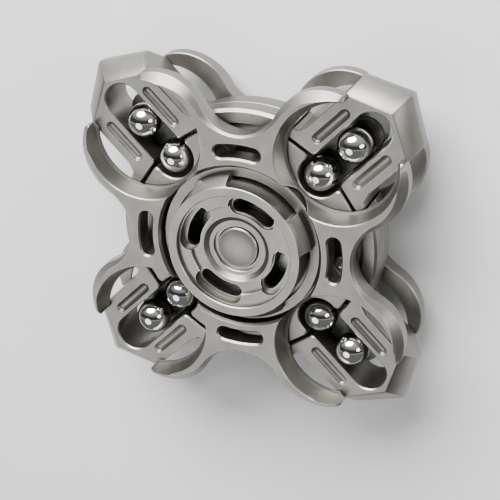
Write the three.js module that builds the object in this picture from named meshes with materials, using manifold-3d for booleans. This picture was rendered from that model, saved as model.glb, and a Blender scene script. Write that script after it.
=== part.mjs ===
// Four-armed metal fidget spinner with two free steel balls in each diagonal arm.
//
// Millimetres. The spinner lies flat, as it does on a desk: the spin axis is Z, the front cap faces
// up and the back cap's rim is what it rests on. The origin is the middle of the object, and the four
// arms point along +X, +Y, -X and -Y. A diagonal arm is drawn along X and turned into its place; the
// back pieces are the front ones turned half a turn about Y.

import * as THREE from 'three';
import { ConvexGeometry } from 'three/addons/geometries/ConvexGeometry.js';
import { mergeVertices } from 'three/addons/utils/BufferGeometryUtils.js';
import Module from 'manifold-3d';

const wasm = await Module();
wasm.setup();

// ---- driving dimensions ------------------------------------------------------------------------

const ARMS = { east: 0, north: 90, west: 180, south: 270 };
const DIAGONALS = { ne: 45, nw: 135, sw: 225, se: 315 };
const SEAM = 0.1; // between flat faces that meet in the real object
const FIT = 0.35; // between a piece and the bay that holds it
const PAST = 1; // how far a cutter runs past what it cuts

const PLATE_FACE = 8; // outer face, from the middle plane
const PLATE_THICK = 3.7;
const PLATE_BACK = PLATE_FACE - PLATE_THICK;
const HUB_HOLE = 14.3;
const SCALLOP_REACH = 27.15; // centre of the hollow arm end, along the arm
const SCALLOP_R = 7.3;
const HORN_REACH = 19.9; // centre of a horn's outer arc, along the arm
const HORN_SIDE = 14.4; // and across it
const HORN_R = Math.hypot(HORN_SIDE, SCALLOP_REACH - HORN_REACH) - SCALLOP_R;
const HORN_END = 70.5; // direction of the horn's tip from that centre, degrees
const TIP_R = 0.9;
const POCKET_REACH = 24; // centre of the round pocket, along the diagonal
const POCKET_R = 9.4; // at the plate's inner face
const POCKET_FLARE = 1.3; // how much wider it is at the outer face

const SLOT_R = [15.85, 18.15];
const SLOT_HALF = 13.9; // half of the slot's angle, degrees

const CORE_R = 22.9;
const CORE_STEP = 3.7; // face of the arm walls, from the middle plane
const FACE = PLATE_BACK - SEAM; // face of the cups and blocks
const HUB_RING_R = 14;
const HUB_RING_FACE = 6.6;
const HUB_WELL = { radius: 12.15, floor: 5.25 }; // room inside that ring for the cap's foot
const LIP_R = 10.2; // keeps the bearing in
const CAVITY_R = [14.6, 20.4];
const CAVITY_HALF = 18;
const CAVITY_FLOOR = 1.85;
const CORE_SCREW = { reach: 17, turn: -9, head: 1.45, shaft: 0.9, headTop: 3.25, end: -2.4 };

const CHANNEL = 3.45; // half the width of the ball channel
const CHANNEL_END = 30.95; // centre of its round outer end
const CUP = 18.3; // centre of its round inner end
const JOINT = 20.1; // inner end of the block beside the channel
const JOINT_LEAN = 0.21; // how far the joint leans inwards for each mm across
const JOINT_GAP = 0.65;
const FOOT = { half: 8.7, end: 20.7, waist: 22.5 };
const BLOCK = { half: 7.4, corner: 34.6, apex: 38.9, faceCorner: 31.85, faceApex: 35.6, edge: 1.05 };
const GROOVE = { side: 4.8, from: 22.75, to: 29.35, radius: 0.75 };

const BALL_R = 3;
const OUTER_BALL = 26.3; // station along the diagonal
const INNER_BALL = CUP;
const BALL_LEVEL = 2.6; // ball centre in front of the middle plane
const RAIL = { half: 3.1, end: 27.5, top: BALL_LEVEL - BALL_R - SEAM, bottom: -FACE + 0.05 };
const MAGNET = { radius: 2, thick: 2, roof: -1.15 };

const CAP = {
  rimFace: 10.4, rimR: 11.7, dishR: 10.1, dishFace: 9.6, stepR: 7.9, stepFace: 8.9,
  discSeatR: 5.7, discFace: 8.33, foot: 5.65, wall: 10.3, roof: 7.45, boss: 5.4, bossFoot: 3.7,
  spigot: 3.85, spigotEnd: 0.2,
};
const CAP_SLOT = { radii: [6.6, 9], middle: 66.5, half: 30.5 };
const CAP_TAB = { radius: 13.1, middle: 21, half: 15, foot: 6.8, top: 8.55 };
const DISC = { radius: 3.6, thick: 0.95 };
const AXLE = { shaft: 1.45, bore: 1.6, head: 2.7, headBore: 2.95, seat: 6.05, tip: 5.15 };
const DISC_BORE = 3.75;

const BEARING = { bore: 4, outer: 11, half: 3.5, pitch: 7.5, ball: 1.985, groove: 2.2, count: 7 };
const RACE_SHOULDER = [6.2, 8.8];
const SHIELD = { radii: [6.45, 8.65], from: 3, to: 3.3 };
const CAGE = { radii: [6.85, 8.15], from: -2.85, to: 0.6, pocket: 2.3 };

// ---- shapes ------------------------------------------------------------------------------------

const radians = (degrees) => degrees * Math.PI / 180;

const polar = (radius, degrees, x = 0, y = 0) => new THREE.Vector2(
  x + radius * Math.cos(radians(degrees)),
  y + radius * Math.sin(radians(degrees)),
);

const points = (pairs) => pairs.map(([x, y]) => new THREE.Vector2(x, y));

// Points of an arc about (x, y), both ends included.
function arc(radius, from, to, steps, x = 0, y = 0) {
  return Array.from({ length: steps + 1 }, (_, i) => polar(radius, from + (to - from) * i / steps, x, y));
}

function turn(list, degrees) {
  const origin = new THREE.Vector2();
  return list.map((point) => point.clone().rotateAround(origin, radians(degrees)));
}

// A geometry as a solid that can be joined and cut.
function solid(geometry) {
  const bare = geometry.clone();
  bare.deleteAttribute('normal');
  bare.deleteAttribute('uv');
  const merged = mergeVertices(bare, 1e-4);
  return new wasm.Manifold(new wasm.Mesh({
    numProp: 3,
    vertProperties: merged.attributes.position.array,
    triVerts: Uint32Array.from(merged.index.array),
  }));
}

// A flat outline raised from one level to another.
function raised(outline, from, to) {
  const shape = new THREE.Shape(outline);
  const geometry = new THREE.ExtrudeGeometry(shape, { depth: to - from, bevelEnabled: false });
  return solid(geometry.translate(0, 0, from));
}

// A closed profile of [radius, level] pairs, turned about the spin axis.
function turned(profile, sides) {
  const closed = points([...profile, profile[0]]);
  if (THREE.ShapeUtils.area(closed) < 0) closed.reverse();
  return solid(new THREE.LatheGeometry(closed, sides).rotateX(Math.PI / 2));
}

const ring = (inner, outer, from, to, sides) =>
  turned([[inner, from], [outer, from], [outer, to], [inner, to]], sides);

// A round bar or a cone along z.
function bar(radius, from, to, sides, topRadius = radius) {
  const geometry = new THREE.CylinderGeometry(topRadius, radius, to - from, sides);
  return solid(geometry.rotateX(Math.PI / 2).translate(0, 0, (from + to) / 2));
}

// A slot with round ends that runs along x between two centres.
function stadium(half, fromX, toX, steps = 6) {
  return [...arc(half, 90, 270, steps, fromX), ...arc(half, -90, 90, steps, toX)];
}

// An arc-shaped band, with square or round ends. The half angle reaches the very end.
function band([inner, outer], middle, half, steps, round) {
  const width = (outer - inner) / 2;
  const centre = (outer + inner) / 2;
  const reach = round ? half - Math.asin(width / centre) * 180 / Math.PI : half;
  const from = middle - reach;
  const to = middle + reach;
  const end = (angle, start) => {
    const c = polar(centre, angle);
    return arc(width, start, start + 180, 4, c.x, c.y).slice(1, -1);
  };
  return [
    ...arc(outer, from, to, steps),
    ...(round ? end(to, to) : []),
    ...arc(inner, to, from, steps),
    ...(round ? end(from, from + 180) : []),
  ];
}

function around(body, angles) {
  return angles.map((degrees) => body.rotate([0, 0, degrees]));
}

const join = (first, others) => others.reduce((sum, other) => sum.add(other), first);
const cut = (first, others) => others.reduce((rest, other) => rest.subtract(other), first);

// ---- plates ------------------------------------------------------------------------------------

// One arm of the plate, pointing up, from the left horn's tip to the right one's.
function armOutline() {
  const meet = THREE.MathUtils.radToDeg(Math.atan2(SCALLOP_REACH - HORN_REACH, -HORN_SIDE));
  const tip = polar(HORN_R - TIP_R, HORN_END, HORN_SIDE, HORN_REACH);
  const horn = [
    ...arc(HORN_R, meet, HORN_END, 7, HORN_SIDE, HORN_REACH),
    ...arc(TIP_R, HORN_END, 0, 3, tip.x, tip.y).slice(1),
  ];
  const otherHorn = horn.map((p) => new THREE.Vector2(-p.x, p.y)).reverse();
  const scallop = arc(SCALLOP_R, -meet, meet - 180, 8, 0, SCALLOP_REACH);
  return [...otherHorn, ...scallop.slice(1, -1), ...horn];
}

function plate() {
  const corner = polar(POCKET_REACH, 45);
  const outline = Object.keys(ARMS).flatMap((_, i) => turn([...armOutline(), corner], -90 * i));
  const slope = POCKET_FLARE / PLATE_THICK * PAST;
  const mouth = POCKET_R + POCKET_FLARE + slope;
  const pocket = bar(POCKET_R - slope, PLATE_BACK - PAST, PLATE_FACE + PAST, 32, mouth)
    .translate([POCKET_REACH, 0, 0]);
  const slot = raised(band(SLOT_R, 0, SLOT_HALF, 3, true), PLATE_BACK - PAST, PLATE_FACE + PAST);
  return cut(raised(outline, PLATE_BACK, PLATE_FACE), [
    bar(HUB_HOLE, PLATE_BACK - PAST, PLATE_FACE + PAST, 40),
    ...around(pocket, Object.values(DIAGONALS)),
    ...around(slot, Object.values(ARMS)),
  ]);
}

// ---- core --------------------------------------------------------------------------------------

const jointAt = (across) => JOINT - JOINT_LEAN * (across - CHANNEL);

// One half of the core: arm walls, cups, bearing seat and the raised ring around the cap.
function coreHalf(screwTurn) {
  const edge = FOOT.half + FIT;
  const side = [[jointAt(CHANNEL) - JOINT_GAP, CHANNEL], [jointAt(edge) - JOINT_GAP, edge]];
  const mirrored = side.map(([x, y]) => [x, -y]).reverse();
  const root = HUB_HOLE - 1;
  const cup = raised(points([[root, -edge], ...mirrored, ...side, [root, edge]]), SEAM, FACE);
  const bay = raised(
    points([...mirrored, ...side, [CORE_R + PAST, edge], [CORE_R + PAST, -edge]]),
    -PAST, CORE_STEP + PAST,
  );
  const channel = raised(stadium(CHANNEL, CUP, CORE_R + PAST), -PAST, FACE + PAST);
  const cavity = raised(band(CAVITY_R, 0, CAVITY_HALF, 4, false), CAVITY_FLOOR, CORE_STEP + PAST);
  const hole = bar(CORE_SCREW.shaft + 0.2, -PAST, CAVITY_FLOOR + PAST, 12)
    .translate([CORE_SCREW.reach, 0, 0]);
  const body = join(bar(CORE_R, SEAM, CORE_STEP, 56), [
    ...around(cup, Object.values(DIAGONALS)),
    bar(HUB_RING_R, SEAM, HUB_RING_FACE, 40),
  ]);
  return cut(body, [
    bar(BEARING.outer + 0.15, -PAST, BEARING.half + SEAM, 32),
    bar(LIP_R, 0, HUB_RING_FACE + PAST, 32),
    bar(HUB_WELL.radius, HUB_WELL.floor, HUB_RING_FACE + PAST, 40),
    ...around(bay, Object.values(DIAGONALS)),
    ...around(channel, Object.values(DIAGONALS)),
    ...around(cavity, Object.values(ARMS)),
    ...around(hole, Object.values(ARMS).map((angle) => angle + screwTurn)),
  ]);
}

// Socket-head screw that ties the two halves of the core together.
function coreScrew() {
  const head = bar(CORE_SCREW.head, CAVITY_FLOOR + 0.05, CORE_SCREW.headTop, 12);
  const socket = bar(0.75, CORE_SCREW.headTop - 0.8, CORE_SCREW.headTop + PAST, 6);
  return head.add(bar(CORE_SCREW.shaft, CORE_SCREW.end, CORE_SCREW.headTop - 0.9, 8)).subtract(socket);
}

// ---- diagonal arms -----------------------------------------------------------------------------

// Bevelled end block, with a dovetail foot, the open ball channel and a groove along each prong.
function block() {
  const corners = [];
  for (const side of [-1, 1]) {
    for (const level of [-1, 1]) {
      corners.push(
        new THREE.Vector3(FOOT.waist, side * BLOCK.half, level * FACE),
        new THREE.Vector3(BLOCK.faceCorner, side * BLOCK.half, level * FACE),
        new THREE.Vector3(BLOCK.corner, side * BLOCK.half, level * BLOCK.edge),
        new THREE.Vector3(BLOCK.faceApex, 0, level * FACE),
        new THREE.Vector3(BLOCK.apex, 0, level * BLOCK.edge),
      );
    }
  }
  const half = [
    [jointAt(0), 0],
    [jointAt(FOOT.half), FOOT.half],
    [FOOT.end, FOOT.half],
    [FOOT.end + 0.6, FOOT.half - 0.85],
    [FOOT.waist, BLOCK.half],
    [FOOT.waist + PAST, BLOCK.half],
  ];
  const foot = raised(points([...half, ...half.slice(1).reverse().map(([x, y]) => [x, -y])]), -FACE, FACE);
  const groove = new THREE.CapsuleGeometry(GROOVE.radius, GROOVE.to - GROOVE.from, 2, 8)
    .rotateZ(Math.PI / 2)
    .translate((GROOVE.from + GROOVE.to) / 2, 0, 0);
  const grooves = [-1, 1].flatMap((side) => [-1, 1].map((level) =>
    solid(groove).translate([0, side * GROOVE.side, level * FACE])));
  return cut(solid(new ConvexGeometry(corners)).add(foot), [
    raised(stadium(CHANNEL, CUP - PAST, CHANNEL_END), -FACE - PAST, FACE + PAST),
    ...grooves,
  ]);
}

// Floor that the two balls roll on, with a pocket behind each of them for its magnet.
function rail() {
  const pocket = bar(MAGNET.radius + 0.15, RAIL.bottom - PAST, MAGNET.roof, 12);
  return cut(raised(stadium(RAIL.half, CUP, RAIL.end), RAIL.bottom, RAIL.top), [
    pocket.translate([OUTER_BALL, 0, 0]),
    pocket.translate([INNER_BALL, 0, 0]),
  ]);
}

const magnet = () => bar(MAGNET.radius, MAGNET.roof - SEAM - MAGNET.thick, MAGNET.roof - SEAM, 12);

// ---- caps and axle -----------------------------------------------------------------------------

// Finger button: stepped dish with four arc slots, four tabs under its rim, and a spigot
// that fills half of the bearing's bore.
function cap() {
  const body = turned([
    [CAP.rimR, CAP.foot], [CAP.rimR, CAP.rimFace], [CAP.dishR, CAP.rimFace], [CAP.dishR, CAP.dishFace],
    [CAP.stepR, CAP.dishFace], [CAP.stepR, CAP.stepFace], [CAP.discSeatR, CAP.stepFace],
    [CAP.discSeatR, CAP.discFace], [DISC_BORE, CAP.discFace], [DISC_BORE, CAP.discFace - DISC.thick - SEAM],
    [AXLE.headBore, CAP.discFace - DISC.thick - SEAM], [AXLE.headBore, AXLE.seat], [AXLE.bore, AXLE.seat],
    [AXLE.bore, CAP.spigotEnd], [CAP.spigot, CAP.spigotEnd], [CAP.spigot, CAP.bossFoot],
    [CAP.boss, CAP.bossFoot], [CAP.boss, CAP.roof], [CAP.wall, CAP.roof], [CAP.wall, CAP.foot],
  ], 32);
  const tab = raised(
    band([CAP.wall + 0.3, CAP_TAB.radius], CAP_TAB.middle, CAP_TAB.half, 3, false),
    CAP_TAB.foot, CAP_TAB.top,
  );
  const slot = raised(
    band(CAP_SLOT.radii, CAP_SLOT.middle, CAP_SLOT.half, 5, true),
    CAP.roof - PAST, CAP.rimFace,
  );
  return cut(join(body, around(tab, Object.values(ARMS))), around(slot, Object.values(ARMS)));
}

const centreDisc = () => bar(DISC.radius, CAP.discFace - DISC.thick, CAP.discFace, 24);

// Screw that clamps the two caps together through the bearing's inner race.
function axleScrew() {
  const head = bar(AXLE.head, -CAP.discFace + DISC.thick + SEAM, -AXLE.seat - 0.05, 16);
  const shaft = bar(AXLE.shaft, -AXLE.seat - 0.5, AXLE.tip, 12);
  const socket = bar(1.3, -CAP.discFace, -CAP.discFace + DISC.thick + 0.8, 6);
  return head.add(shaft).subtract(socket);
}

// ---- bearing -----------------------------------------------------------------------------------

// Race with a ball groove, from its plain cylinder to its grooved shoulder.
function race(plain, shoulder) {
  const facing = shoulder < BEARING.pitch ? 180 : 0;
  const lean = THREE.MathUtils.radToDeg(Math.acos(Math.abs(shoulder - BEARING.pitch) / BEARING.groove));
  const groove = arc(BEARING.groove, facing - lean, facing + lean, 3, BEARING.pitch);
  const track = groove.map((p) => [p.x, p.y]).sort((p, q) => p[1] - q[1]);
  return turned([
    [plain, -BEARING.half], [shoulder, -BEARING.half], ...track,
    [shoulder, BEARING.half], [plain, BEARING.half],
  ], 28);
}

const steelBall = (radius, detail) => solid(new THREE.IcosahedronGeometry(radius, detail));

// Crown cage: a ring behind the balls with a round seat for each of them.
function cage() {
  const seat = steelBall(CAGE.pocket, 1).translate([BEARING.pitch, 0, 0]);
  const turns = Array.from({ length: BEARING.count }, (_, i) => 360 * i / BEARING.count);
  return cut(ring(...CAGE.radii, CAGE.from, CAGE.to, 28), around(seat, turns));
}

// ---- assembly ----------------------------------------------------------------------------------

const FINISH = {
  blasted: { color: 0xa5a29c, roughness: 0.45, metalness: 1 },
  dark: { color: 0x4a4a4a, roughness: 0.5, metalness: 1 },
  polished: { color: 0xe0dfdb, roughness: 0.06, metalness: 1 },
  steel: { color: 0xb9b9b6, roughness: 0.25, metalness: 1 },
  polymer: { color: 0x3b3a38, roughness: 0.6, metalness: 0 },
};

const spinner = new THREE.Group();

// Adds a solid to the assembly as a named mesh, and returns the mesh to be placed.
function add(name, body, finish) {
  const { vertProperties, triVerts } = body.getMesh();
  const geometry = new THREE.BufferGeometry();
  geometry.setAttribute('position', new THREE.BufferAttribute(Float32Array.from(vertProperties), 3));
  geometry.setIndex(Array.from(triVerts));
  geometry.computeVertexNormals();
  const mesh = new THREE.Mesh(geometry, new THREE.MeshStandardMaterial(FINISH[finish]));
  mesh.name = name;
  spinner.add(mesh);
  return mesh;
}

// Adds a front piece and the same piece at the back, turned half a turn about Y.
function addPair(name, body, finish) {
  add(`front_${name}`, body, finish);
  add(`back_${name}`, body, finish).rotation.y = Math.PI;
}

// Adds one copy of a piece to each arm, turned into place.
function addAround(name, body, finish, places, extraTurn = 0) {
  for (const [place, degrees] of Object.entries(places)) {
    add(`${name}_${place}`, body, finish).rotation.z = radians(degrees + extraTurn);
  }
}

addPair('plate', plate(), 'blasted');
add('front_core', coreHalf(CORE_SCREW.turn), 'blasted');
add('back_core', coreHalf(-CORE_SCREW.turn), 'blasted').rotation.y = Math.PI;
addAround('core_screw', coreScrew().translate([CORE_SCREW.reach, 0, 0]), 'steel', ARMS, CORE_SCREW.turn);

addAround('block', block(), 'blasted', DIAGONALS);
addAround('ball_rail', rail(), 'dark', DIAGONALS);
for (const [name, station] of [['outer', OUTER_BALL], ['inner', INNER_BALL]]) {
  addAround(`${name}_magnet`, magnet().translate([station, 0, 0]), 'steel', DIAGONALS);
  const ball = steelBall(BALL_R, 2).translate([station, 0, BALL_LEVEL]);
  addAround(`${name}_ball`, ball, 'polished', DIAGONALS);
}

addPair('cap', cap(), 'blasted');
addPair('centre_disc', centreDisc(), 'blasted');
add('axle_screw', axleScrew(), 'steel');

add('bearing_outer_race', race(BEARING.outer, RACE_SHOULDER[1]), 'steel');
add('bearing_inner_race', race(BEARING.bore, RACE_SHOULDER[0]), 'steel');
addPair('bearing_shield', ring(...SHIELD.radii, SHIELD.from, SHIELD.to, 24), 'steel');
add('bearing_cage', cage(), 'polymer');
for (let i = 0; i < BEARING.count; i += 1) {
  const { x, y } = polar(BEARING.pitch, 360 * i / BEARING.count);
  add(`bearing_ball_${i + 1}`, steelBall(BEARING.ball, 1), 'polished').position.set(x, y, 0);
}

export default spinner;
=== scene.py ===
"""Looks of a four-armed metal fidget spinner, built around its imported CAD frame.

The spinner lies flat: its spin axis is Z and its front cap faces up. Pieces are drawn in
millimetres about the spin axis, each as loops of points at a level above the middle plane, and
are scaled to metres when they are put in place. Back pieces are front ones turned over about Y.
"""

import math

import bmesh
import bpy
import numpy as np
from mathutils import Matrix, Vector
from mathutils.geometry import tessellate_polygon


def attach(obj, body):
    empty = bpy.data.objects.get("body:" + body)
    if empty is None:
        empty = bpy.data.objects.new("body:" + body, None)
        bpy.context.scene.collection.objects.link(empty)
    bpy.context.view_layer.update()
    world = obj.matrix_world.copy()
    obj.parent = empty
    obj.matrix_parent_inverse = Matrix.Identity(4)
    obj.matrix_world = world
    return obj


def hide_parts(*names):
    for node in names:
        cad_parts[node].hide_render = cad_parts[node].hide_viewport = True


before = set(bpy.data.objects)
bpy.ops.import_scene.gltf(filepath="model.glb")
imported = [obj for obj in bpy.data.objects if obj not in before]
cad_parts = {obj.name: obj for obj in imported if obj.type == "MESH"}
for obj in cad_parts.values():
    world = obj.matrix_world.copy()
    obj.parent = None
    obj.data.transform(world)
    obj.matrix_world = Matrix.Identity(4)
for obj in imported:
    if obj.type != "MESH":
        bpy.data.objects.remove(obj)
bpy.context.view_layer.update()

MM = 0.001
DIAGONALS = {"ne": 45, "nw": 135, "sw": 225, "se": 315}
ARMS = {"east": 0, "north": 90, "west": 180, "south": 270}

# ---- sizes, mm ---------------------------------------------------------------------------------

PLATE_FACE = 8.0  # level of the front plate's outer face
PLATE_BACK = 4.3  # and of its inner face
BREAK = 0.15  # the small bevel on most edges
HUB_HOLE = 14.3
SCALLOP_REACH, SCALLOP_R = 27.15, 7.3  # the hollow end of an arm
HORN_SIDE, HORN_REACH = 14.4, 19.9  # centre of a horn's outer arc
HORN_R = math.hypot(HORN_SIDE, SCALLOP_REACH - HORN_REACH) - SCALLOP_R
HORN_END = 70.5  # direction of the tip from that centre
TIP_R = 0.9
POCKET_REACH = 24.0
POCKET_R = 9.4
LEDGE_LEVELS, LEDGE_WIDTH = (4.8, 4.95), 0.35
POCKET_MOUTH = 10.7
ARM_CHAMFER = (0.35, 1.5)  # in the middle of the scallop, and along the horn
SLOT = (15.85, 18.15, 13.9)  # inner and outer radius, half angle
SLOT_FLARE = 0.28

CORE_R = 22.9
CORE_STEP = 3.7  # level of the arm walls, under the plate
CORE_SEAM = 0.03
FACE = 4.2  # face of the cups and blocks
HUB_RING = (10.3, 14.0, 6.6)  # inner and outer radius, level of its top
HUB_WELL = (12.15, 5.25)  # radius and floor of the room for the cap's foot
CAVITY = (14.6, 20.4, 17.0)  # inner and outer radius, half angle
CAVITY_FLOOR = 1.85
SCREW_REACH, SCREW_TURN, SCREW_HEAD_R, SCREW_HEAD_TOP = 17.0, -9.0, 1.45, 3.25
SOCKET_R, SOCKET_DEPTH, SOCKET_FLARE = 0.78, 0.8, 0.08

SEAT_R = 3.65  # inner ball's seat in a cup

CHANNEL = 3.25  # half width of a block's ball channel
CHANNEL_END = 30.95
CUP = 18.3  # centre of the inner ball's seat, along the diagonal
JOINT, JOINT_LEAN, JOINT_GAP = 20.1, 0.21, 0.65  # where it meets the channel, slant, gap
FOOT, FOOT_END, WAIST = 8.7, 20.9, 22.6
BAY_HALF = FOOT + 0.35  # half width of the bay for a block's foot, and of its cup
BLOCK_HALF = 7.4
BLOCK_EDGE = 1.05
BLOCK_RIM = (34.6, 38.9)  # corner and apex of the end, at the middle
BLOCK_FACE = (31.85, 35.6)  # and at the face
GROOVE_SIDE, GROOVE_FROM, GROOVE_TO, GROOVE_R, GROOVE_DEPTH = 4.95, 22.75, 29.35, 0.85, 0.55

BALL_R = 3.0
BALL_LEVEL = 2.6
OUTER_BALL, INNER_BALL = 26.3, CUP
RAIL_HALF, RAIL_END, RAIL_TOP, RAIL_BOTTOM = 3.1, 27.5, -0.5, -4.15
RAIL_BREAK = 0.22
RING_R, RING_DEPTH = 2.72, 0.12  # fine ring under each ball

MAGNET_R, MAGNET_THICK, MAGNET_ROOF = 2.0, 2.0, -1.15
MAGNET_BREAK = 0.18

CAP_RIM, CAP_FACE, CAP_FOOT = 11.7, 10.4, 5.65
CAP_WALL, CAP_ROOF = 10.3, 7.45
CAP_TAB_R, CAP_TAB_FOOT, CAP_TAB_TOP = 13.05, 6.8, 7.95
CAP_NOTCH_MIDDLE, CAP_NOTCH_HALF = 66.0, 30.0
CAP_DISH = (10.1, 9.6)  # radius and level of each step down to the middle
CAP_STEP = (7.9, 8.9)
CAP_WELL = (5.75, 5.0)  # top and bottom radius of the cone round the middle
CAP_LAND, CAP_LAND_R = 8.33, 4.25
CAP_BOSS = (5.4, 3.7)  # radius, and level of its underside
CAP_SLOT = (6.45, 9.9, 31.0)  # inner and outer radius, half angle, above the ledge
CAP_SLOT_THROAT = (6.7, 9.1, 28.5)  # and below it
CAP_SLOT_MIDDLE, CAP_SLOT_LEDGE = 66.5, 8.25
DISC_R, DISC_BORE = 3.6, 3.75

# ---- outlines ----------------------------------------------------------------------------------


def polar(radius, degrees, centre=(0, 0)):
    angle = np.radians(degrees)
    return np.stack([centre[0] + radius * np.cos(angle), centre[1] + radius * np.sin(angle)], -1)


def arc(radius, start, end, steps, centre=(0, 0)):
    return polar(radius, np.linspace(start, end, steps + 1), centre)


def circle(radius, steps, centre=(0, 0)):
    return arc(radius, 0, 360, steps, centre)[:-1]


def turned(outline, degrees):
    c, s = math.cos(math.radians(degrees)), math.sin(math.radians(degrees))
    return np.asarray(outline) @ np.array([[c, s], [-s, c]])


def inset(outline, amount):
    """Moves each point of a counterclockwise outline inwards, by one amount or by its own."""
    outline = np.asarray(outline, float)
    before = outline - np.roll(outline, 1, 0)
    after = np.roll(outline, -1, 0) - outline
    before /= np.linalg.norm(before, axis=1, keepdims=True)
    after /= np.linalg.norm(after, axis=1, keepdims=True)
    left = np.stack([-before[:, 1] - after[:, 1], before[:, 0] + after[:, 0]], 1)
    mitre = 1 + (before * after).sum(1, keepdims=True)
    return outline + left / np.maximum(mitre, 0.3) * np.reshape(amount, (-1, 1))


def stadium(half, start, end, steps=12, side=0.0):
    """A slot with round ends along x, between two centres."""
    ends = [arc(half, 90, 270, steps, (start, side)), arc(half, -90, 90, steps, (end, side))]
    return np.concatenate(ends)


def rounded(corners):
    """An outline from (x, y, radius, chamfer) corners, and the chamfer of each of its points."""
    outline, chamfers = [], []
    for i, (x, y, radius, chamfer) in enumerate(corners):
        here = np.array((x, y), float)
        before = here - corners[i - 1][:2]
        after = corners[(i + 1) % len(corners)][:2] - here
        before /= np.linalg.norm(before)
        after /= np.linalg.norm(after)
        turning = math.atan2(before[0] * after[1] - before[1] * after[0], before @ after)
        side = math.copysign(radius, turning)
        left = np.array((-before[1], before[0]))
        centre = here - before * radius * math.tan(abs(turning) / 2) + side * left
        start = math.degrees(math.atan2(*(-side * left)[::-1]))
        steps = 12 if radius > 1 else 3 if radius else 0
        end = start + math.degrees(turning)
        curve = arc(radius, start, end, steps, centre) if steps else [here]
        outline += list(curve)
        chamfers += [chamfer] * len(curve)
    return np.array(outline), np.array(chamfers)


def band(inner, outer, half, middle=0.0, steps=24, round_ends=True):
    """An arc-shaped slot. The half angle reaches its very end."""
    width, centre = (outer - inner) / 2, (outer + inner) / 2
    reach = half - math.degrees(math.asin(width / centre)) * round_ends
    low, high = middle - reach, middle + reach
    parts = [arc(outer, low, high, steps)]
    if round_ends:
        parts.append(arc(width, high, high + 180, 10, polar(centre, high))[1:-1])
    parts.append(arc(inner, high, low, steps))
    if round_ends:
        parts.append(arc(width, low + 180, low + 360, 10, polar(centre, low))[1:-1])
    return np.concatenate(parts)


# ---- mesh building -----------------------------------------------------------------------------


class Shell:
    """Loops of points at their levels, and the faces between them."""

    def __init__(self):
        self.points = []
        self.faces = []

    def loop(self, outline, level):
        start = len(self.points)
        levels = np.broadcast_to(level, len(outline))
        self.points += [(x, y, z) for (x, y), z in zip(outline, levels)]
        return list(range(start, len(self.points)))

    def walls(self, *loops):
        for low, high in zip(loops, loops[1:]):
            for i, a in enumerate(low):
                j = (i + 1) % len(low)
                self.faces.append((a, low[j], high[j], high[i]))

    def fill(self, outer, holes=()):
        rings = [outer, *holes]
        flat = [[Vector((*self.points[i][:2], 0)) for i in ring] for ring in rings]
        order = [i for ring in rings for i in ring]
        self.faces += [tuple(order[i] for i in face) for face in tessellate_polygon(flat)]

    def stack(self, outline, stations):
        """Loops of one outline at (level, inset) stations, joined by walls."""
        loops = [self.loop(inset(outline, amount), level) for level, amount in stations]
        self.walls(*loops)
        return loops

    def lathe(self, profile, sides=96):
        """Turns a closed profile of (radius, level) pairs about the spin axis."""
        loops = [self.loop(circle(radius, sides), level) for radius, level in profile]
        self.walls(*loops, loops[0])


def weld(mesh, distance=2e-3):
    """Merges points that meet and turns all faces outwards."""
    work = bmesh.new()
    work.from_mesh(mesh)
    bmesh.ops.remove_doubles(work, verts=work.verts, dist=distance)
    bmesh.ops.dissolve_degenerate(work, edges=work.edges, dist=distance / 4)
    bmesh.ops.recalc_face_normals(work, faces=work.faces)
    work.to_mesh(mesh)
    work.free()


def smooth(mesh, degrees=26):
    mesh.polygons.foreach_set("use_smooth", [True] * len(mesh.polygons))
    mesh.set_sharp_from_angle(angle=math.radians(degrees))
    mesh.update()


def made(shell):
    """A shell as a clean mesh, in millimetres."""
    mesh = bpy.data.meshes.new("shape")
    mesh.from_pydata(shell.points, [], shell.faces)
    weld(mesh)
    return mesh


def cut(mesh, cutters):
    """A mesh with other closed meshes taken away from it."""
    body = bpy.data.objects.new("cut", mesh)
    bpy.context.scene.collection.objects.link(body)
    tools = []
    for cutter in cutters:
        tool = bpy.data.objects.new("cutter", cutter)
        bpy.context.scene.collection.objects.link(tool)
        step = body.modifiers.new("cut", "BOOLEAN")
        step.operation = "DIFFERENCE"
        step.solver = "EXACT"
        step.object = tool
        tools.append(tool)
    depsgraph = bpy.context.evaluated_depsgraph_get()
    result = bpy.data.meshes.new_from_object(body.evaluated_get(depsgraph))
    for thing in [body, *tools]:
        bpy.data.objects.remove(thing)
    return result


def place(name, mesh, body, material, turn=0.0, back=False):
    """Puts a copy of a mesh on its body, in place of the CAD node of that name."""
    mesh = mesh.copy()
    spin = Matrix.Rotation(math.radians(turn), 4, "Z")
    flip = Matrix.Rotation(math.pi if back else 0, 4, "Y")
    mesh.transform(Matrix.Scale(MM, 4) @ flip @ spin)
    smooth(mesh)
    mesh.materials.clear()
    mesh.materials.append(material)
    piece = bpy.data.objects.new(f"{name}_looks", mesh)
    bpy.context.scene.collection.objects.link(piece)
    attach(piece, body)
    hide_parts(name)


# ---- materials ---------------------------------------------------------------------------------


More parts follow.
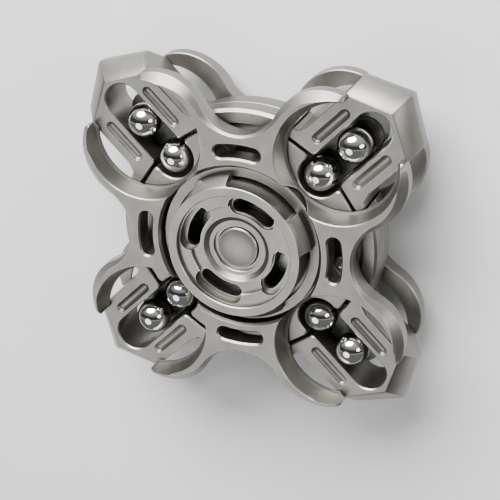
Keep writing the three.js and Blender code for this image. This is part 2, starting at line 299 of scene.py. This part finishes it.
class Nodes:
    """A short way to add and join the nodes of one material."""

    def __init__(self, name):
        self.material = bpy.data.materials.new(name)
        self.material.use_nodes = True
        self.tree = self.material.node_tree
        self.shader = self.tree.nodes["Principled BSDF"]

    def add(self, kind, links=None, **values):
        node = self.tree.nodes.new(kind)
        for key, value in values.items():
            if key in node.inputs:
                node.inputs[key].default_value = value
            else:
                setattr(node, key, value)
        for key, source in (links or {}).items():
            self.tree.links.new(source, node.inputs[key])
        return node

    def ramp(self, source, low, high, stops=(0.0, 1.0)):
        node = self.add("ShaderNodeMapRange", {"Value": source})
        node.inputs["From Min"].default_value, node.inputs["From Max"].default_value = stops
        node.inputs["To Min"].default_value, node.inputs["To Max"].default_value = low, high
        return node.outputs["Result"]

    def noise(self, scale, detail=2.0, rough=0.5):
        where = self.add("ShaderNodeTexCoord").outputs["Object"]
        node = self.add("ShaderNodeTexNoise", {"Vector": where})
        node.inputs["Scale"].default_value = scale
        node.inputs["Detail"].default_value = detail
        node.inputs["Roughness"].default_value = rough
        return node.outputs["Fac"]

    def mix(self, factor, first, second):
        node = self.add("ShaderNodeMix", {"Factor": factor}, data_type="RGBA")
        for index, colour in ((6, first), (7, second)):
            if isinstance(colour, tuple):
                node.inputs[index].default_value = (*colour, 1)
            else:
                self.tree.links.new(colour, node.inputs[index])
        return node.outputs[2]

    def edges(self, radius):
        """About 0 on flat faces and 1 along sharp edges."""
        rounded = self.add("ShaderNodeBevel", samples=4)
        rounded.inputs["Radius"].default_value = radius
        flat = self.add("ShaderNodeNewGeometry").outputs["Normal"]
        dot = self.add("ShaderNodeVectorMath", operation="DOT_PRODUCT")
        self.tree.links.new(rounded.outputs["Normal"], dot.inputs[0])
        self.tree.links.new(flat, dot.inputs[1])
        return self.ramp(dot.outputs["Value"], 0, 1, (1.0, 0.86))

    def set(self, socket, source):
        self.tree.links.new(source, self.shader.inputs[socket])

    def bump(self, height, strength, distance):
        node = self.add("ShaderNodeBump", {"Height": height})
        node.inputs["Strength"].default_value = strength
        node.inputs["Distance"].default_value = distance
        self.set("Normal", node.outputs["Normal"])


def blasted(name, dark, light, painted_edge_highlight, rough):
    """Bead-blasted metal: fine grain, soft blotches, and a painted highlight that brightens the
    colour along sharp edges.
    """
    nodes = Nodes(name)
    nodes.shader.inputs["Metallic"].default_value = 1.0
    blotch = nodes.ramp(nodes.noise(260, 3), 0, 1, (0.35, 0.65))
    grain = nodes.noise(5200, 3, 0.65)
    body = nodes.mix(blotch, dark, light)
    # The colour along sharp edges is a painted highlight: it stands in for light caught on the
    # small bevels.
    edge = nodes.edges(0.22 * MM)
    nodes.set("Base Color", nodes.mix(edge, body, painted_edge_highlight))
    wear = nodes.ramp(grain, rough - 0.07, rough + 0.07, (0.3, 0.7))
    nodes.set("Roughness", wear)
    nodes.bump(grain, 0.35, 0.03 * MM)
    return nodes.material


def polished(name, colour, rough):
    """Mirror-polished steel with faint handling marks."""
    nodes = Nodes(name)
    nodes.shader.inputs["Metallic"].default_value = 1.0
    smudge = nodes.noise(420, 4, 0.6)
    dulled = tuple(0.93 * c for c in colour)
    nodes.set("Base Color", nodes.mix(nodes.ramp(smudge, 0, 1, (0.3, 0.7)), colour, dulled))
    nodes.set("Roughness", nodes.ramp(smudge, rough, rough + 0.07, (0.45, 0.75)))
    nodes.bump(nodes.noise(900, 2), 0.04, 0.01 * MM)
    return nodes.material


def moulded(name, colour, rough):
    """Dark moulded nylon with a fine spark-eroded skin."""
    nodes = Nodes(name)
    grain = nodes.noise(3000, 3, 0.6)
    nodes.set("Base Color", nodes.mix(nodes.noise(300, 2), colour, tuple(1.35 * c for c in colour)))
    nodes.set("Roughness", nodes.ramp(grain, rough - 0.08, rough + 0.08, (0.3, 0.7)))
    nodes.bump(grain, 0.3, 0.02 * MM)
    return nodes.material


# name, dark and light colours, colour of the painted highlight along edges, roughness
BODY_METAL = blasted(
    "blasted_steel", (0.235, 0.225, 0.207), (0.285, 0.273, 0.252), (0.56, 0.54, 0.50), 0.38)
CAP_METAL = blasted(
    "blasted_cap_steel", (0.25, 0.24, 0.22), (0.30, 0.288, 0.268), (0.60, 0.58, 0.54), 0.35)
PLAIN_STEEL = blasted(
    "plain_steel", (0.30, 0.30, 0.29), (0.36, 0.36, 0.35), (0.6, 0.6, 0.59), 0.26)
# The rail's near-black colour is painted shade: it stands in for the shadow deep in the ball
# channel.
RAIL_PAINTED_SHADE_METAL = blasted(
    "rail_steel_painted_shade", (0.055, 0.055, 0.055), (0.085, 0.083, 0.08), (0.34, 0.33, 0.32), 0.36)
BALL_STEEL = polished("polished_ball_steel", (0.86, 0.85, 0.83), 0.035)
NICKEL = polished("nickel_plate", (0.72, 0.70, 0.66), 0.16)
NYLON = moulded("cage_nylon", (0.04, 0.038, 0.036), 0.5)

# ---- plates ------------------------------------------------------------------------------------

POCKET = polar(POCKET_REACH, 45)
HORN = np.array((HORN_SIDE, HORN_REACH))
SCALLOP = np.array((0, SCALLOP_REACH))


def pocket_radius(level):
    """Radius of the flared pocket wall above its ledge."""
    low = LEDGE_LEVELS[1]
    start = POCKET_R + LEDGE_WIDTH
    return start + (POCKET_MOUTH - start) * (level - low) / (PLATE_FACE - low)


def bisect(value, low, high):
    """Where a value that is positive at low and negative at high passes through zero."""
    for _ in range(40):
        middle = (low + high) / 2
        if value(middle) > 0:
            low = middle
        else:
            high = middle
    return (low + high) / 2


def horn_spare(angle, width):
    """How far a point on the horn's chamfer lies outside the flared pocket wall."""
    point = polar(HORN_R - width, angle, HORN)
    level = PLATE_FACE - ARM_CHAMFER[1] + width
    return np.linalg.norm(point - POCKET) - pocket_radius(level)


def plate_half():
    """Edge of a plate from the top arm's axis to the diagonal, as rows of
    foot x, y, ledge growth, wall x, y, level, lip x, y, level, lip inset, and whether the face
    reaches that lip."""
    meet = math.degrees(math.atan2(SCALLOP_REACH - HORN_REACH, -HORN_SIDE))
    narrow, wide = ARM_CHAMFER
    peak = bisect(lambda angle: horn_spare(angle, wide), meet, HORN_END)
    rows = []

    def edge(point, inwards, width, lip=None, lip_level=PLATE_FACE, face=True):
        lip = point + inwards * width if lip is None else lip
        rows.append([*point, 0, *point, PLATE_FACE - width, *lip, lip_level, 0, face])

    scallop = np.linspace(-90, meet - 180, 13)
    horn = np.linspace(meet, peak, 11)[1:]
    along_scallop = SCALLOP_R * np.radians(scallop + 90)
    along_horn = SCALLOP_R * math.radians(meet - 90) + HORN_R * np.radians(meet - horn)
    lengths = np.concatenate([along_scallop, along_horn])
    share = np.clip((lengths / lengths[-1] - 0.1) / 0.85, 0, 1)
    widths = narrow + (wide - narrow) * share * share * (3 - 2 * share)
    for angle, width in zip(scallop, widths):
        edge(polar(SCALLOP_R, angle, SCALLOP), polar(1, angle), width)
    for angle, width in zip(horn, widths[len(scallop):]):
        edge(polar(HORN_R, angle, HORN), -polar(1, angle), width)
    ridge = []
    for angle in np.linspace(peak, HORN_END, 9)[1:]:
        width = bisect(lambda w: horn_spare(angle, w), 0, wide)
        lip = polar(HORN_R - width, angle, HORN)
        level = PLATE_FACE - wide + width
        ridge.append((lip, level))
        edge(polar(HORN_R, angle, HORN), None, wide, lip, level, False)
    tip = polar(HORN_R - TIP_R, HORN_END, HORN)
    lip, level = ridge[-1]
    for angle in np.linspace(HORN_END, -8, 7)[1:]:
        edge(polar(TIP_R, angle, tip), None, wide, lip, level, False)

    def pocket(direction, lip=None, lip_level=PLATE_FACE, face=True):
        rounding = BREAK if lip is None else 0
        lip = polar(POCKET_MOUTH - rounding, direction, POCKET) if lip is None else lip
        middle = (LEDGE_LEVELS[1] + lip_level) / 2
        rows.append([*polar(POCKET_R, direction, POCKET), LEDGE_WIDTH,
                     *polar(pocket_radius(middle), direction, POCKET), middle,
                     *lip, lip_level - rounding, rounding, face])

    for lip, level in reversed(ridge):
        offset = lip - POCKET
        pocket(math.degrees(math.atan2(offset[1], offset[0])), lip, level, False)
    end = polar(HORN_R - wide, peak, HORN)
    start = math.degrees(math.atan2(*(end - POCKET)[::-1]))
    pocket(start, end, PLATE_FACE, False)
    for direction in np.linspace(start, 225, 25)[1:]:
        pocket(direction)
    return np.array(rows, float)


def lip_grown(lip, amounts):
    """The lip moved away from its pocket's centre by the rounding of its edge."""
    out = lip - POCKET * np.sign(lip)
    return lip + out / np.linalg.norm(out, axis=1, keepdims=True) * amounts[:, None]


def plate_shell():
    """A plate before its hub hole is cut: its edge in four quarters and the four arc slots."""
    half = plate_half()
    other = half[:, [1, 0, 2, 4, 3, 5, 7, 6, 8, 9, 10]]
    quarter = np.concatenate([other[:-1], half[::-1][:-1]])
    rows = []
    for turn in range(4):
        part = quarter.copy()
        for column in (0, 3, 6):
            part[:, column:column + 2] = turned(part[:, column:column + 2], 90 * turn)
        rows.append(part)
    rows = np.concatenate(rows)
    foot, wall, lip = rows[:, 0:2], rows[:, 3:5], rows[:, 6:8]
    shell = Shell()
    outer = [
        shell.loop(inset(foot, BREAK), PLATE_BACK),
        shell.loop(foot, PLATE_BACK + BREAK),
        shell.loop(foot, LEDGE_LEVELS[0]),
        shell.loop(inset(foot, rows[:, 2]), LEDGE_LEVELS[1]),
        shell.loop(wall, rows[:, 5]),
        shell.loop(lip, rows[:, 8]),
    ]
    reached = rows[:, 10] > 0
    top = shell.loop(lip_grown(lip, rows[:, 9]), np.where(reached, PLATE_FACE, rows[:, 8]))
    shell.walls(*outer, top)
    bottoms, tops = [], []
    for angle in ARMS.values():
        loops = shell.stack(band(*SLOT, middle=angle), [
            (PLATE_BACK, -BREAK), (PLATE_BACK + BREAK, 0),
            (PLATE_FACE - SLOT_FLARE, 0), (PLATE_FACE, -SLOT_FLARE),
        ])
        bottoms.append(loops[0])
        tops.append(loops[-1])
    shell.fill([i for i, flat in zip(top, reached) if flat], tops)
    shell.fill(outer[0], bottoms)
    return shell


def hub_cutter():
    """A plug as wide as the hub hole, flared at the face."""
    shell = Shell()
    flare, past = 0.4, 1.0
    shell.lathe([
        (0, PLATE_BACK - past), (HUB_HOLE, PLATE_BACK - past), (HUB_HOLE, PLATE_FACE - flare),
        (HUB_HOLE + flare + past, PLATE_FACE + past), (0, PLATE_FACE + past),
    ], 120)
    return made(shell)


plate_mesh = cut(made(plate_shell()), [hub_cutter()])
for side in ("front", "back"):
    place(f"{side}_plate", plate_mesh, "spinner", BODY_METAL, back=side == "back")

# ---- core --------------------------------------------------------------------------------------


def joint_at(across):
    """Where the slanting joint of core and block lies, at a distance across the diagonal."""
    return JOINT - JOINT_LEAN * (across - CHANNEL)


def core_outline():
    """Edge of the core: the round arm ends, and between them the bays that hold the blocks."""
    edge = BAY_HALF
    reach = math.degrees(math.asin(edge / CORE_R))
    corners = []
    for bay in DIAGONALS.values():
        seat, spare = SEAT_R + 0.05, JOINT_GAP + 0.05
        inner, corner = joint_at(edge) - spare, joint_at(CHANNEL) - spare
        pocket = [
            (math.sqrt(CORE_R**2 - edge**2), -edge, 0, 0.1), (inner, -edge, 0.4, 0.1),
            (corner, -seat, 0.3, 0.1), (CUP - seat, -seat, seat - 0.01, 0.1),
            (CUP - seat, seat, seat - 0.01, 0.1), (corner, seat, 0.3, 0.1), (inner, edge, 0.4, 0.1),
        ]
        for x, y, radius, chamfer in pocket:
            corners.append((*turned((x, y), bay), radius, chamfer))
        for point in arc(CORE_R, bay + reach, bay + 90 - reach, 24)[:-1]:
            corners.append((*point, 0, 0.5))
    return rounded(corners)


def core_shell():
    """One half of the core: arm walls with their screw cavities, four cups and the hub ring."""
    shell = Shell()
    outline, chamfers = core_outline()
    walls = shell.stack(outline, [
        (CORE_SEAM, 0.05), (CORE_SEAM + 0.05, 0), (CORE_STEP - 0.4, 0), (CORE_STEP, chamfers),
    ])
    bore = shell.stack(circle(HUB_RING[0], 96), [(CORE_SEAM, 0), (CORE_STEP, 0)])
    pits = []
    for angle in ARMS.values():
        cavity = shell.stack(band(*CAVITY, middle=angle, round_ends=False), [
            (CORE_STEP, -BREAK), (CORE_STEP - BREAK, 0), (CAVITY_FLOOR, 0),
        ])
        pits.append(cavity[0])
        shell.fill(cavity[-1])
    shell.fill(walls[-1], [bore[-1], *pits])
    shell.fill(walls[0], [bore[0]])
    for angle in DIAGONALS.values():
        outline, chamfers = cup_outline()
        foot = shell.stack(turned(outline, angle), [
            (CORE_SEAM + 0.05, 0), (FACE - 0.2, 0), (FACE, chamfers),
        ])
        shell.fill(foot[0])
        shell.fill(foot[-1])
    inner, outer, top = HUB_RING
    shell.lathe([
        (inner, CORE_STEP - 0.3), (outer, CORE_STEP - 0.3), (outer, top - 0.2), (outer - 0.2, top),
        (HUB_WELL[0] + BREAK, top), (HUB_WELL[0], top - BREAK), HUB_WELL, (inner, HUB_WELL[1]),
    ], 120)
    return shell


def cup_outline():
    """A cup: the round seat of the inner ball, open towards the block."""
    edge = BAY_HALF
    root = HUB_RING[1] - 1.5
    corner, seat = joint_at(edge) - JOINT_GAP, joint_at(CHANNEL) - JOINT_GAP
    back, radius = CUP - SEAT_R, SEAT_R - 0.01
    return rounded([
        (root, -edge, 0, 0.1), (corner, -edge, 0.4, 0.15), (seat, -SEAT_R, 0.7, 0.25),
        (back, -SEAT_R, radius, 0.2), (back, SEAT_R, radius, 0.2),
        (seat, SEAT_R, 0.7, 0.25), (corner, edge, 0.4, 0.15), (root, edge, 0, 0.1),
    ])


core_mesh = made(core_shell())
for side in ("front", "back"):
    place(f"{side}_core", core_mesh, "spinner", BODY_METAL, back=side == "back")


def screw_shell():
    """Head of a socket screw, with its hexagonal socket."""
    shell = Shell()
    centre = (SCREW_REACH, 0)
    head = shell.stack(circle(SCREW_HEAD_R, 48, centre), [
        (CAVITY_FLOOR + 0.05, 0), (SCREW_HEAD_TOP - BREAK, 0), (SCREW_HEAD_TOP, BREAK),
    ])
    socket = shell.stack(circle(SOCKET_R, 6, centre), [
        (SCREW_HEAD_TOP, -SOCKET_FLARE), (SCREW_HEAD_TOP - SOCKET_FLARE, 0),
        (SCREW_HEAD_TOP - SOCKET_DEPTH, 0),
    ])
    shell.fill(head[0])
    shell.fill(head[-1], [socket[0]])
    shell.fill(socket[-1])
    return shell


screw_mesh = made(screw_shell())
for arm, angle in ARMS.items():
    turn = angle + SCREW_TURN
    place(f"core_screw_{arm}", screw_mesh, "spinner", PLAIN_STEEL, turn)

# ---- diagonal arms -----------------------------------------------------------------------------


def block_outline(level):
    """Edge of a block at one level, with the ball channel open towards the core."""
    share = (FACE - max(abs(level), BLOCK_EDGE)) / (FACE - BLOCK_EDGE)
    corner = BLOCK_FACE[0] + (BLOCK_RIM[0] - BLOCK_FACE[0]) * share
    apex = BLOCK_FACE[1] + (BLOCK_RIM[1] - BLOCK_FACE[1]) * share
    half = [
        (corner, BLOCK_HALF, 0.35, 0.2), (WAIST + 0.3, BLOCK_HALF, 0.9, 0.2),
        (FOOT_END + 0.3, FOOT - 0.75, 0.5, 0.2), (FOOT_END, FOOT, 0.2, 0.2),
        (joint_at(FOOT), FOOT, 0.3, 0.2), (joint_at(CHANNEL), CHANNEL, 0.7, 0.22),
        (CHANNEL_END + CHANNEL, CHANNEL, CHANNEL - 0.01, 0.22),
    ]
    other = [(x, -y, radius, chamfer) for x, y, radius, chamfer in reversed(half)]
    return rounded([(apex, 0, 0.4, 0.2), *half, *other])


def groove(shell, side, face):
    """A ball-nosed groove along one prong. Returns its loop on the face."""
    way = math.copysign(1, face)
    loops = [shell.loop(stadium(GROOVE_R + 0.09, GROOVE_FROM, GROOVE_TO, 12, side), face)]
    for depth in (6, 25, 45, 65, 85):
        reach = GROOVE_R * math.cos(math.radians(depth))
        level = face - way * GROOVE_DEPTH * math.sin(math.radians(depth))
        loops.append(shell.loop(stadium(reach, GROOVE_FROM, GROOVE_TO, 12, side), level))
    shell.walls(*loops)
    shell.fill(loops[-1])
    return loops[0]


def block_shell():
    """An end block: its bevelled edge, and two grooves on each face."""
    shell = Shell()
    loops = []
    for level in (-FACE, -FACE + 0.2, -BLOCK_EDGE - 0.12, -BLOCK_EDGE + 0.12,
                  BLOCK_EDGE - 0.12, BLOCK_EDGE + 0.12, FACE - 0.2, FACE):
        outline, chamfers = block_outline(level)
        amount = chamfers if abs(level) == FACE else 0
        loops.append(shell.loop(inset(outline, amount), level))
    shell.walls(*loops)
    for ring, face in ((loops[0], -FACE), (loops[-1], FACE)):
        shell.fill(ring, [groove(shell, side, face) for side in (-GROOVE_SIDE, GROOVE_SIDE)])
    return shell


def rail_shell():
    """Floor of the channel, with a fine ring round each ball and a pocket behind it."""
    shell = Shell()
    walls = shell.stack(stadium(RAIL_HALF, CUP, RAIL_END, 24), [
        (RAIL_BOTTOM, 0.2), (RAIL_BOTTOM + 0.2, 0),
        (RAIL_TOP - RAIL_BREAK, 0), (RAIL_TOP, RAIL_BREAK),
    ])
    rings, pockets = [], []
    for station in (INNER_BALL, OUTER_BALL):
        centre = (station, 0)
        ring = shell.stack(circle(RING_R, 64, centre), [
            (RAIL_TOP, 0), (RAIL_TOP - RING_DEPTH, 0.07),
            (RAIL_TOP - RING_DEPTH, 0.17), (RAIL_TOP, 0.24),
        ])
        rings.append(ring[0])
        shell.fill(ring[-1])
        pocket = shell.stack(circle(MAGNET_R + 0.15, 48, centre), [
            (RAIL_BOTTOM, -BREAK), (RAIL_BOTTOM + BREAK, 0), (MAGNET_ROOF, 0),
        ])
        pockets.append(pocket[0])
        shell.fill(pocket[-1])
    shell.fill(walls[-1], rings)
    shell.fill(walls[0], pockets)
    return shell


def magnet_shell(station):
    """A round magnet behind one resting place of a ball."""
    shell = Shell()
    top = MAGNET_ROOF - 0.1
    bottom = top - MAGNET_THICK
    disc = shell.stack(circle(MAGNET_R, 48, (station, 0)), [
        (bottom, MAGNET_BREAK), (bottom + MAGNET_BREAK, 0),
        (top - MAGNET_BREAK, 0), (top, MAGNET_BREAK),
    ])
    shell.fill(disc[0])
    shell.fill(disc[-1])
    return shell


def ball_mesh(station):
    mesh = bpy.data.meshes.new("ball")
    work = bmesh.new()
    bmesh.ops.create_icosphere(work, subdivisions=5, radius=BALL_R)
    work.to_mesh(mesh)
    work.free()
    mesh.transform(Matrix.Translation((station, 0, BALL_LEVEL)))
    return mesh


block_mesh = made(block_shell())
rail_mesh = made(rail_shell())
for corner, angle in DIAGONALS.items():
    place(f"block_{corner}", block_mesh, "spinner", BODY_METAL, angle)
    place(f"ball_rail_{corner}", rail_mesh, "spinner", RAIL_PAINTED_SHADE_METAL, angle)
for which, station in (("outer", OUTER_BALL), ("inner", INNER_BALL)):
    magnet_mesh = made(magnet_shell(station))
    ball = ball_mesh(station)
    for corner, angle in DIAGONALS.items():
        place(f"{which}_magnet_{corner}", magnet_mesh, "spinner", NICKEL, angle)
        name = f"{which}_ball_{corner}"
        place(name, ball, name, BALL_STEEL, angle)

# ---- caps --------------------------------------------------------------------------------------


def cap_mesh():
    """A stepped finger cap with four tabs under its rim and four arc slots through its floor."""
    shell = Shell()
    shell.lathe([
        (CAP_WALL, CAP_FOOT), (CAP_RIM - 0.2, CAP_FOOT), (CAP_RIM - 0.05, CAP_FOOT + 0.15),
        (CAP_RIM - 0.05, CAP_TAB_FOOT),
        (CAP_TAB_R - 0.1, CAP_TAB_FOOT), (CAP_TAB_R, CAP_TAB_FOOT + 0.1),
        (CAP_TAB_R, CAP_TAB_TOP - 0.12), (CAP_TAB_R - 0.07, CAP_TAB_TOP + 0.1),
        (CAP_RIM + 0.12, CAP_FACE - 0.2), (CAP_RIM - 0.1, CAP_FACE),
        (CAP_DISH[0] + 0.14, CAP_FACE), (CAP_DISH[0], CAP_FACE - 0.14),
        CAP_DISH, (CAP_STEP[0] + 0.12, CAP_DISH[1]), (CAP_STEP[0], CAP_DISH[1] - 0.12),
        CAP_STEP, (CAP_WELL[0] + 0.12, CAP_STEP[1]), (CAP_WELL[0], CAP_STEP[1] - 0.1),
        (CAP_WELL[1], CAP_LAND), (CAP_LAND_R + 0.08, CAP_LAND), (CAP_LAND_R, CAP_LAND - 0.08),
        (CAP_LAND_R, CAP_LAND - 0.5), (DISC_BORE, CAP_LAND - 0.5), (DISC_BORE, CAP_BOSS[1]),
        CAP_BOSS, (CAP_BOSS[0], CAP_ROOF), (CAP_WALL, CAP_ROOF),
    ], 120)
    cutters = []
    for quarter in ARMS.values():
        cutters.append(prism(notch_outline(quarter), CAP_TAB_FOOT - 0.3, CAP_FACE + 1))
        middle = CAP_SLOT_MIDDLE + quarter
        cutters.append(prism(band(*CAP_SLOT, middle), CAP_SLOT_LEDGE, CAP_FACE + 1))
        cutters.append(prism(band(*CAP_SLOT_THROAT, middle), CAP_ROOF - 1, CAP_FACE))
    return cut(made(shell), cutters)


def notch_outline(quarter):
    """A gap between two tabs, cut in to the rim, with round inner corners."""
    middle = CAP_NOTCH_MIDDLE + quarter
    low, high = middle - CAP_NOTCH_HALF, middle + CAP_NOTCH_HALF
    inner = arc(CAP_RIM, high, low, 20)
    outside = polar(CAP_TAB_R + 2, [low, middle - 10, middle + 10, high])
    corners = [(*point, 0, 0) for point in outside]
    corners += [(*point, 0.55 if i in (0, 20) else 0, 0) for i, point in enumerate(inner)]
    return rounded(corners)[0]


def prism(outline, low, high):
    """A straight-sided cutter between two levels."""
    shell = Shell()
    bottom, top = shell.stack(outline, [(low, 0), (high, 0)])
    shell.fill(bottom)
    shell.fill(top)
    return made(shell)


def disc_mesh():
    """The dished plug in the middle of a cap."""
    depth, lip, thick = 0.42, 3.3, 0.95
    dish = [(lip * i / 8, CAP_LAND - depth * (1 - (i / 8) ** 2)) for i in range(9)]
    shell = Shell()
    shell.lathe([
        *dish, (lip + 0.08, CAP_LAND - 0.02), (DISC_R - 0.15, CAP_LAND - 0.02),
        (DISC_R, CAP_LAND - 0.17), (DISC_R, CAP_LAND - thick), (0, CAP_LAND - thick),
    ], 96)
    return made(shell)


cap = cap_mesh()
disc = disc_mesh()
for side in ("front", "back"):
    over = side == "back"
    place(f"{side}_cap", cap, "finger_caps", CAP_METAL, back=over)
    place(f"{side}_centre_disc", disc, "finger_caps", CAP_METAL, back=over)

# ---- pieces kept from the frame ----------------------------------------------------------------

for name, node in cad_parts.items():
    if node.hide_render:
        continue
    material = PLAIN_STEEL
    if name.startswith("bearing_ball"):
        material = BALL_STEEL
    elif name == "bearing_cage":
        material = NYLON
    node.data.materials.clear()
    node.data.materials.append(material)

# ---- floor, light and camera -------------------------------------------------------------------


def floor():
    """A pale matt floor under the back cap."""
    size, level = 3.0, -CAP_FACE * MM
    corners = [(x * size, y * size, level) for x, y in ((-1, -1), (1, -1), (1, 1), (-1, 1))]
    mesh = bpy.data.meshes.new("floor")
    mesh.from_pydata(corners, [], [(0, 1, 2, 3)])
    nodes = Nodes("pale_floor")
    tone = nodes.ramp(nodes.noise(3, 2), 0, 1)
    nodes.set("Base Color", nodes.mix(tone, (0.90, 0.90, 0.90), (0.93, 0.93, 0.93)))
    nodes.shader.inputs["Roughness"].default_value = 0.8
    mesh.materials.append(nodes.material)
    piece = bpy.data.objects.new("floor", mesh)
    bpy.context.scene.collection.objects.link(piece)


def area_light(name, position, width, height, watts):
    """A soft light that faces the middle of the spinner."""
    light = bpy.data.lights.new(name, "AREA")
    light.shape = "ELLIPSE"
    light.size, light.size_y, light.energy = width, height, watts
    lamp = bpy.data.objects.new(name, light)
    lamp.location = position
    lamp.rotation_euler = (-Vector(position)).to_track_quat("-Z", "Y").to_euler()
    bpy.context.scene.collection.objects.link(lamp)


def sky():
    """Bright towards +Y, with a dark band across the middle that the polished balls show."""
    world = bpy.data.worlds.new("studio")
    bpy.context.scene.world = world
    world.use_nodes = True
    tree = world.node_tree
    where = tree.nodes.new("ShaderNodeTexCoord")
    split = tree.nodes.new("ShaderNodeSeparateXYZ")
    height = tree.nodes.new("ShaderNodeMapRange")
    shade = tree.nodes.new("ShaderNodeValToRGB")
    height.inputs["From Min"].default_value = -1.0
    tree.links.new(where.outputs["Generated"], split.inputs[0])
    tree.links.new(split.outputs["Y"], height.inputs["Value"])
    tree.links.new(height.outputs["Result"], shade.inputs["Fac"])
    tree.links.new(shade.outputs["Color"], tree.nodes["Background"].inputs["Color"])
    tree.nodes["Background"].inputs["Strength"].default_value = 0.5
    stops = (
        (0.0, 0.30), (0.36, 0.30), (0.40, 0.95), (0.43, 0.10),
        (0.58, 0.08), (0.70, 0.60), (0.85, 1.0),
    )
    ramp = shade.color_ramp
    while len(ramp.elements) < len(stops):
        ramp.elements.new(1.0)
    for element, (position, value) in zip(ramp.elements, stops):
        element.position = position
        element.color = (value, value, value, 1)


def camera():
    """Looks down at the hub from the +X, +Y side, at the photograph's angle."""
    position = Vector((87.1, 108.4, 224.75)) * MM
    aside, below = 2.01, 0.44  # how far the view's middle is from the hub
    hub = Vector((0, 0, PLATE_FACE)) * MM
    forward = (hub - position).normalized()
    right = forward.cross(Vector((0.02, 1, 0))).normalized()
    up = right.cross(forward)
    forward = (hub + (aside * right - below * up) * MM - position).normalized()
    right = forward.cross(up).normalized()
    up = right.cross(forward)
    data = bpy.data.cameras.new("camera")
    data.lens, data.sensor_width = 110.8, 36
    data.clip_start, data.clip_end = 0.01, 10
    view = bpy.data.objects.new("camera", data)
    axes = Matrix((right, up, -forward)).transposed().to_4x4()
    view.matrix_world = Matrix.Translation(position) @ axes
    bpy.context.scene.collection.objects.link(view)
    bpy.context.scene.camera = view


floor()
area_light("key", (-0.12, 0.50, 0.34), 0.60, 0.40, 11.0)
area_light("overhead", (-0.22, -0.26, 0.55), 0.45, 0.45, 1.2)
area_light("side", (0.50, 0.12, 0.30), 0.20, 0.30, 0.8)
sky()
camera()
